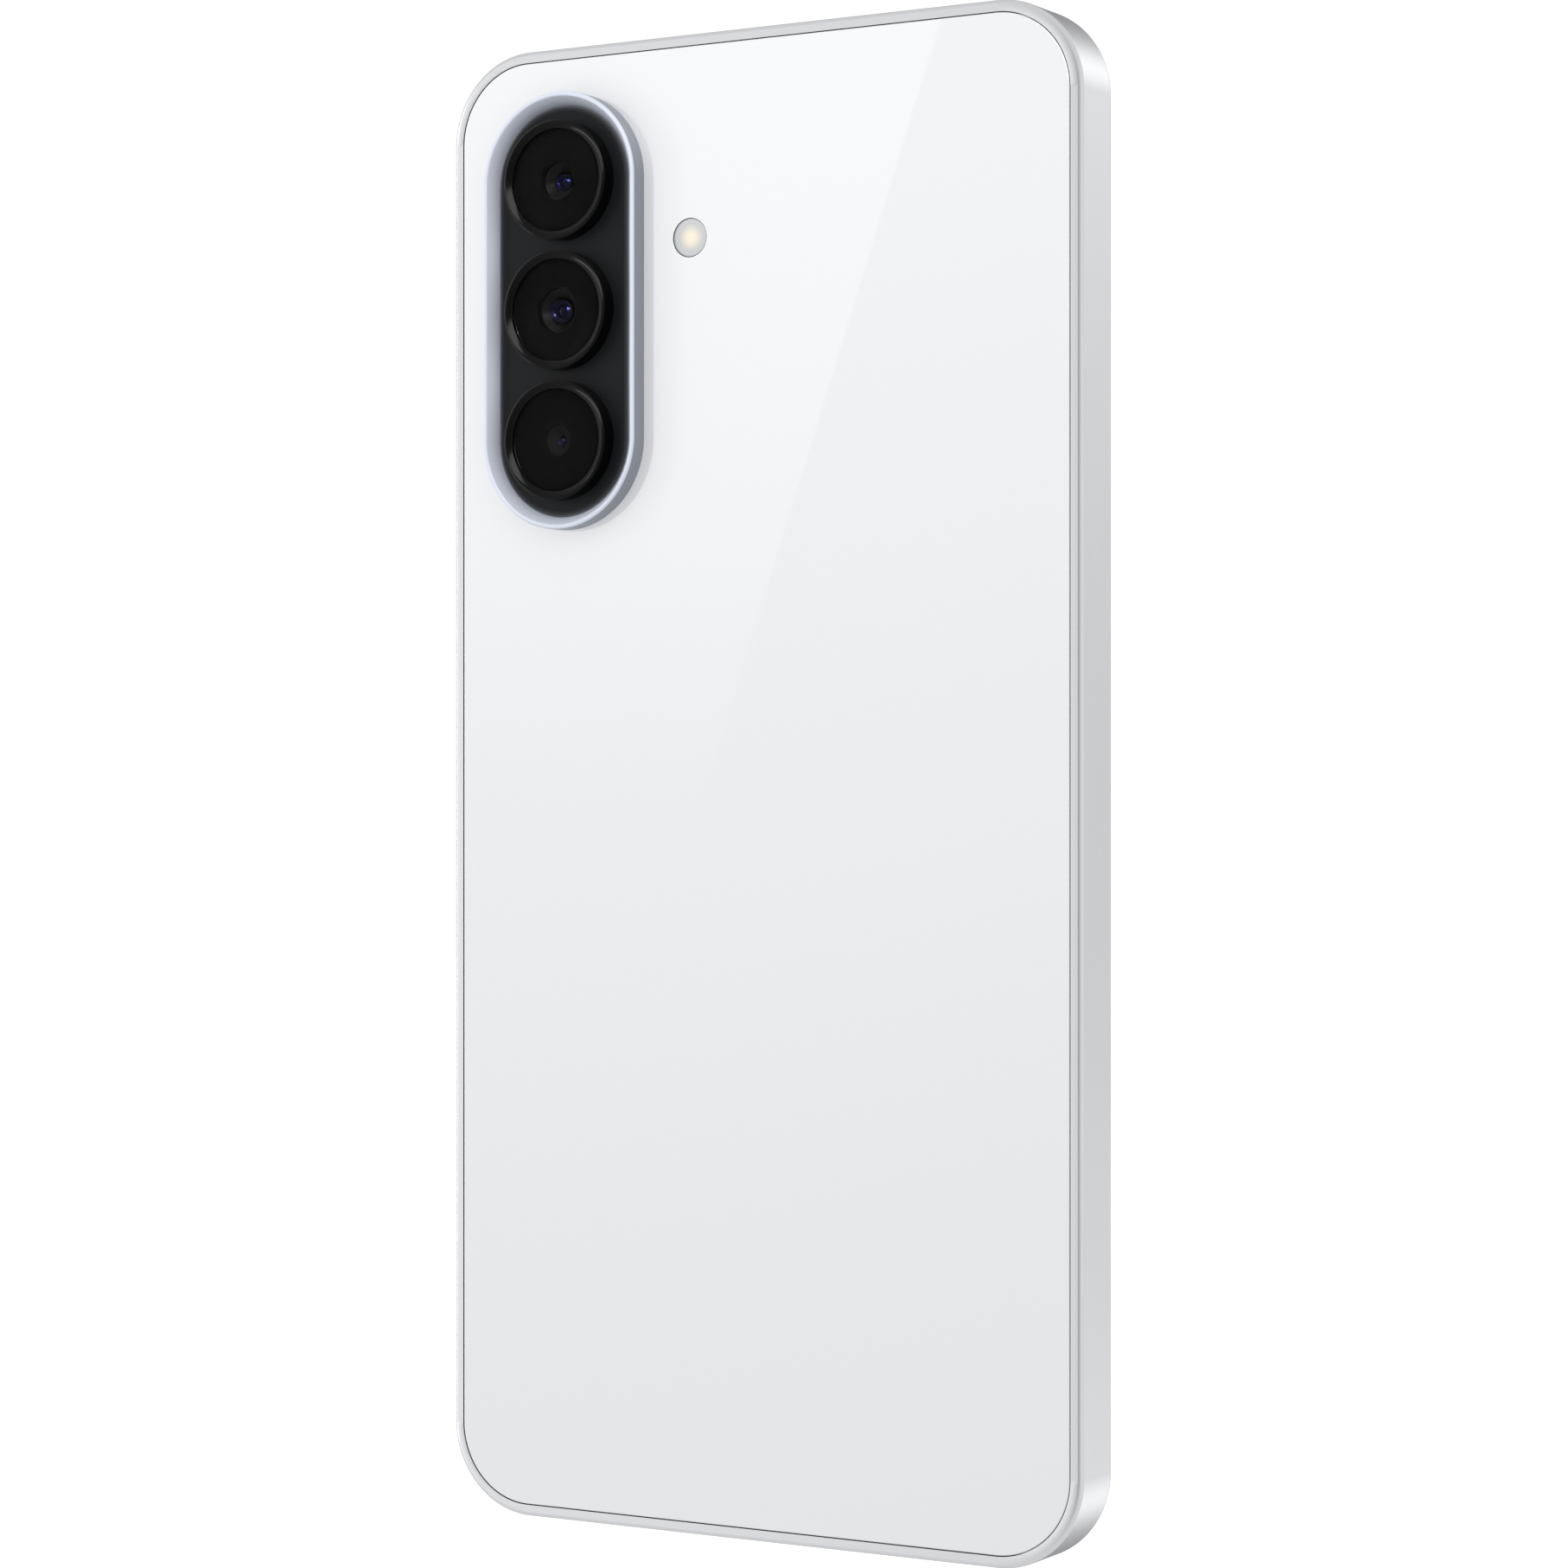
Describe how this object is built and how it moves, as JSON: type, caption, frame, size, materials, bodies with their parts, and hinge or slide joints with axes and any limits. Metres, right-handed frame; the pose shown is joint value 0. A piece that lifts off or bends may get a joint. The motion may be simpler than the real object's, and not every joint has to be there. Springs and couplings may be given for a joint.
{
  "type": "smartphone",
  "caption": "Slim upright smartphone with a satin metal side frame, glossy white back, pill-shaped camera island, side buttons and a pull-out SIM tray.",
  "frame": {"origin": "centre of the flat back face, half-way up the phone and half-way across it", "axes": "+Z along the phone towards the earpiece, +Y straight out of the back, the screen facing -Y, and +X towards the side with the buttons"},
  "size_m": [0.0787, 0.0104, 0.163],
  "materials": {
    "frame_metal": "fine-blasted and anodised silver white, satin",
    "white_cover": "polished white with a clear gloss layer and faint speckle",
    "ring_metal": "satin anodised aluminium, cool blue-grey",
    "island_plate": "black glass, etched to a satin finish",
    "trim_metal": "black anodised, turned, with a polished chamfer",
    "lens_glass": "clear coated cover glass",
    "flash_window": "frosted diffuser over a warm emitter",
    "gold_contact": "gold-plated metal can",
    "camera_black": "moulded black plastic",
    "sheet_steel": "pressed stainless sheet",
    "magnesium": "die-cast light alloy, bead-blasted",
    "board": "glass-fibre laminate with green solder mask",
    "chip": "moulded black package",
    "black_plastic": "glass-filled black plastic",
    "copper_foil": "copper foil",
    "battery_wrap": "black film over a pouch cell, whose density is near that of aluminium",
    "flex_film": "amber polyimide film",
    "cable_jacket": "thin black jacket",
    "seal_rubber": "black foam tape or silicone",
    "cone_film": "pressed polymer film with a voice coil",
    "tungsten": "sintered heavy alloy",
    "acoustic_mesh": "woven black acoustic mesh",
    "front_glass": "clear strengthened glass, printed black border",
    "display": "dark display panel, switched off"
  },
  "bodies": {
    "phone": {"side_frame": "frame_metal", "mid_plate": "magnesium", "rear_cover": "white_cover", "rear_cover_gasket": "seal_rubber", "camera_ring": "ring_metal", "camera_plate": "island_plate", "top_lens_trim": "trim_metal", "middle_lens_trim": "trim_metal", "bottom_lens_trim": "trim_metal", "top_lens_glass": "lens_glass", "middle_lens_glass": "lens_glass", "bottom_lens_glass": "lens_glass", "flash_window": "flash_window", "flash_led": "gold_contact", "ultrawide_housing": "camera_black", "ultrawide_lens": "camera_black", "main_camera_housing": "camera_black", "macro_housing": "camera_black", "macro_lens": "camera_black", "camera_bracket": "sheet_steel", "main_board": "board", "processor": "chip", "processor_shield": "sheet_steel", "power_shield": "sheet_steel", "upper_cover": "black_plastic", "nfc_coil": "copper_foil", "battery_cell": "battery_wrap", "battery_pull_tab": "flex_film", "battery_flex": "flex_film", "main_flex": "flex_film", "antenna_cable": "cable_jacket", "sub_board": "board", "port_sleeve": "sheet_steel", "port_tongue": "black_plastic", "port_gasket": "seal_rubber", "loudspeaker_box": "black_plastic", "loudspeaker_mesh": "acoustic_mesh", "bottom_microphone": "gold_contact", "top_microphone": "gold_contact", "vibration_can": "sheet_steel", "sim_reader": "sheet_steel", "side_key_flex": "flex_film", "front_glass": "front_glass", "display_panel": "display", "display_backing": "copper_foil", "display_gasket": "seal_rubber", "front_camera": "camera_black", "earpiece_mesh": "acoustic_mesh", "earpiece_receiver": "black_plastic", "fingerprint_sensor": "chip", "board_screws": "sheet_steel"},
    "power_key": {"power_button": "frame_metal"},
    "volume_rocker": {"volume_button": "frame_metal"},
    "tray": {"sim_tray": "frame_metal", "sim_tray_seal": "seal_rubber"},
    "eject_rod": {"sim_eject_rod": "sheet_steel"},
    "eject_lever": {"sim_eject_lever": "sheet_steel"},
    "focus_barrel": {"main_camera_barrel": "camera_black"},
    "vibrator": {"vibration_mass": "tungsten"},
    "speaker_cone": {"loudspeaker_cone": "cone_film"}
  },
  "joints": [
    {"name": "power_press", "type": "slide", "parent": "phone", "child": "power_key", "axis": [-1, 0, 0], "range_m": [0, 0.00025], "stiffness_N_per_m": 6000},
    {"name": "volume_rock", "type": "hinge", "parent": "phone", "child": "volume_rocker", "pos_m": [0.0365, -0.0037, 0.034], "axis": [0, 1, 0], "range_deg": [-1.2, 1.2], "stiffness_Nm_per_rad": 0.8},
    {"name": "tray_slide", "type": "slide", "parent": "phone", "child": "tray", "axis": [0, 0, -1], "range_m": [0, 0.026]},
    {"name": "rod_push", "type": "slide", "parent": "phone", "child": "eject_rod", "axis": [0, 0, 1], "range_m": [0, 0.002]},
    {"name": "lever_turn", "type": "hinge", "parent": "phone", "child": "eject_lever", "pos_m": [-0.0178, -0.00375, -0.0542], "axis": [0, -1, 0], "range_deg": [0, 26]},
    {"name": "focus_slide", "type": "slide", "parent": "phone", "child": "focus_barrel", "axis": [0, 1, 0], "range_m": [0, 0.0003], "stiffness_N_per_m": 60},
    {"name": "vibrator_swing", "type": "slide", "parent": "phone", "child": "vibrator", "axis": [1, 0, 0], "range_m": [-0.0005, 0.0005], "stiffness_N_per_m": 1200},
    {"name": "cone_stroke", "type": "slide", "parent": "phone", "child": "speaker_cone", "axis": [0, 1, 0], "range_m": [-0.0003, 0.0003], "stiffness_N_per_m": 400}
  ],
  "couplings": [
    {"joint": "lever_turn", "follows": "rod_push", "rad_per_m": 222}
  ]
}
